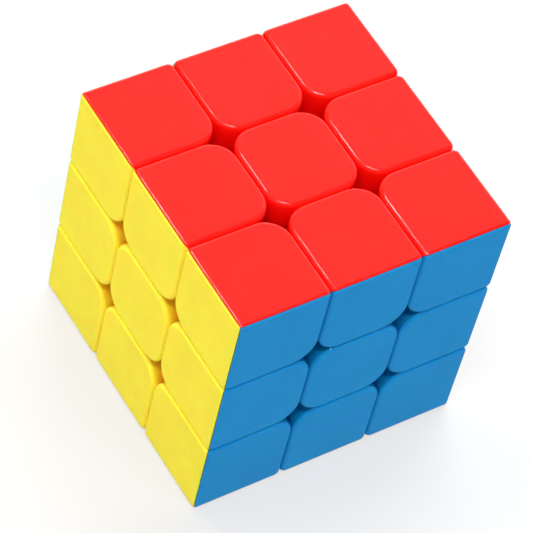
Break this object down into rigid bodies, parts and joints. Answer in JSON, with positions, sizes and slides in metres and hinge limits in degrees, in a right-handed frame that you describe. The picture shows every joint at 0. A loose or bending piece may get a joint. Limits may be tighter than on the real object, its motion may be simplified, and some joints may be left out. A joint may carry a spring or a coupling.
{
  "type": "twisty puzzle cube",
  "caption": "Stickerless twisty puzzle cube of coloured corner, edge and centre pieces with rounded inner corners, sprung on a six-armed core so its layers turn.",
  "frame": {"origin": "centre of the cube, where the three turning axes cross", "axes": "+Z out of the red top face, -Y out of the blue front face, -X out of the yellow left face"},
  "size_m": [0.056, 0.056, 0.056],
  "materials": {
    "red_plastic": "semi-gloss moulded ABS, red all through, used for the top face",
    "orange_plastic": "semi-gloss moulded ABS, orange all through, used for the bottom face",
    "blue_plastic": "semi-gloss moulded ABS, blue all through, used for the front face",
    "green_plastic": "semi-gloss moulded ABS, green all through, used for the back face",
    "white_plastic": "semi-gloss moulded ABS, white all through, used for the right face",
    "yellow_plastic": "semi-gloss moulded ABS, yellow all through, used for the left face",
    "core_plastic": "fine matte moulded nylon, charcoal",
    "screw_steel": "zinc-plated steel",
    "spring_steel": "drawn spring-steel wire"
  },
  "bodies": {
    "middle_layer": {"core": "core_plastic", "tension_screw_top": "screw_steel", "tension_screw_bottom": "screw_steel", "tension_screw_front": "screw_steel", "tension_screw_back": "screw_steel", "tension_screw_right": "screw_steel", "tension_screw_left": "screw_steel", "tension_spring_top": "spring_steel", "tension_spring_bottom": "spring_steel", "tension_spring_front": "spring_steel", "tension_spring_back": "spring_steel", "tension_spring_right": "spring_steel", "tension_spring_left": "spring_steel", "edge_shell_front_right": "blue_plastic", "edge_shell_front_left": "blue_plastic", "edge_shell_back_right": "green_plastic", "edge_shell_back_left": "green_plastic", "edge_shell_right_front": "white_plastic", "edge_shell_right_back": "white_plastic", "edge_shell_left_front": "yellow_plastic", "edge_shell_left_back": "yellow_plastic"},
    "top_layer": {"edge_shell_top_front": "red_plastic", "edge_shell_top_back": "red_plastic", "edge_shell_top_right": "red_plastic", "edge_shell_top_left": "red_plastic", "edge_shell_front_top": "blue_plastic", "edge_shell_back_top": "green_plastic", "edge_shell_right_top": "white_plastic", "edge_shell_left_top": "yellow_plastic", "corner_top_front_right": "red_plastic", "corner_top_front_left": "red_plastic", "corner_top_back_right": "red_plastic", "corner_top_back_left": "red_plastic"},
    "bottom_layer": {"edge_shell_bottom_front": "orange_plastic", "edge_shell_bottom_back": "orange_plastic", "edge_shell_bottom_right": "orange_plastic", "edge_shell_bottom_left": "orange_plastic", "edge_shell_front_bottom": "blue_plastic", "edge_shell_back_bottom": "green_plastic", "edge_shell_right_bottom": "white_plastic", "edge_shell_left_bottom": "yellow_plastic", "corner_bottom_front_right": "orange_plastic", "corner_bottom_front_left": "orange_plastic", "corner_bottom_back_right": "orange_plastic", "corner_bottom_back_left": "orange_plastic"},
    "top_centre": {"centre_base_top": "red_plastic"},
    "bottom_centre": {"centre_base_bottom": "orange_plastic"},
    "front_centre": {"centre_base_front": "blue_plastic"},
    "back_centre": {"centre_base_back": "green_plastic"},
    "right_centre": {"centre_base_right": "white_plastic"},
    "left_centre": {"centre_base_left": "yellow_plastic"},
    "top_cap": {"centre_cap_top": "red_plastic"},
    "bottom_cap": {"centre_cap_bottom": "orange_plastic"},
    "front_cap": {"centre_cap_front": "blue_plastic"},
    "back_cap": {"centre_cap_back": "green_plastic"},
    "right_cap": {"centre_cap_right": "white_plastic"},
    "left_cap": {"centre_cap_left": "yellow_plastic"}
  },
  "joints": [
    {"name": "top_layer_turn", "type": "hinge", "parent": "middle_layer", "child": "top_layer", "pos_m": [0, 0, 0], "axis": [0, 0, 1], "continuous": true},
    {"name": "bottom_layer_turn", "type": "hinge", "parent": "middle_layer", "child": "bottom_layer", "pos_m": [0, 0, 0], "axis": [0, 0, -1], "continuous": true},
    {"name": "top_centre_float", "type": "slide", "parent": "top_layer", "child": "top_centre", "axis": [0, 0, 1], "range_m": [0, 0.0008], "stiffness_N_per_m": 400, "springref_m": -0.004, "deforming": ["tension_spring_top"]},
    {"name": "bottom_centre_float", "type": "slide", "parent": "bottom_layer", "child": "bottom_centre", "axis": [0, 0, -1], "range_m": [0, 0.0008], "stiffness_N_per_m": 400, "springref_m": -0.004, "deforming": ["tension_spring_bottom"]},
    {"name": "front_centre_float", "type": "slide", "parent": "middle_layer", "child": "front_centre", "axis": [0, -1, 0], "range_m": [0, 0.0008], "stiffness_N_per_m": 400, "springref_m": -0.004, "deforming": ["tension_spring_front"]},
    {"name": "back_centre_float", "type": "slide", "parent": "middle_layer", "child": "back_centre", "axis": [0, 1, 0], "range_m": [0, 0.0008], "stiffness_N_per_m": 400, "springref_m": -0.004, "deforming": ["tension_spring_back"]},
    {"name": "right_centre_float", "type": "slide", "parent": "middle_layer", "child": "right_centre", "axis": [1, 0, 0], "range_m": [0, 0.0008], "stiffness_N_per_m": 400, "springref_m": -0.004, "deforming": ["tension_spring_right"]},
    {"name": "left_centre_float", "type": "slide", "parent": "middle_layer", "child": "left_centre", "axis": [-1, 0, 0], "range_m": [0, 0.0008], "stiffness_N_per_m": 400, "springref_m": -0.004, "deforming": ["tension_spring_left"]},
    {"name": "top_cap_lift", "type": "slide", "parent": "top_centre", "child": "top_cap", "axis": [0, 0, 1], "range_m": [0, 0.02]},
    {"name": "bottom_cap_lift", "type": "slide", "parent": "bottom_centre", "child": "bottom_cap", "axis": [0, 0, -1], "range_m": [0, 0.02]},
    {"name": "front_cap_lift", "type": "slide", "parent": "front_centre", "child": "front_cap", "axis": [0, -1, 0], "range_m": [0, 0.02]},
    {"name": "back_cap_lift", "type": "slide", "parent": "back_centre", "child": "back_cap", "axis": [0, 1, 0], "range_m": [0, 0.02]},
    {"name": "right_cap_lift", "type": "slide", "parent": "right_centre", "child": "right_cap", "axis": [1, 0, 0], "range_m": [0, 0.02]},
    {"name": "left_cap_lift", "type": "slide", "parent": "left_centre", "child": "left_cap", "axis": [-1, 0, 0], "range_m": [0, 0.02]}
  ]
}
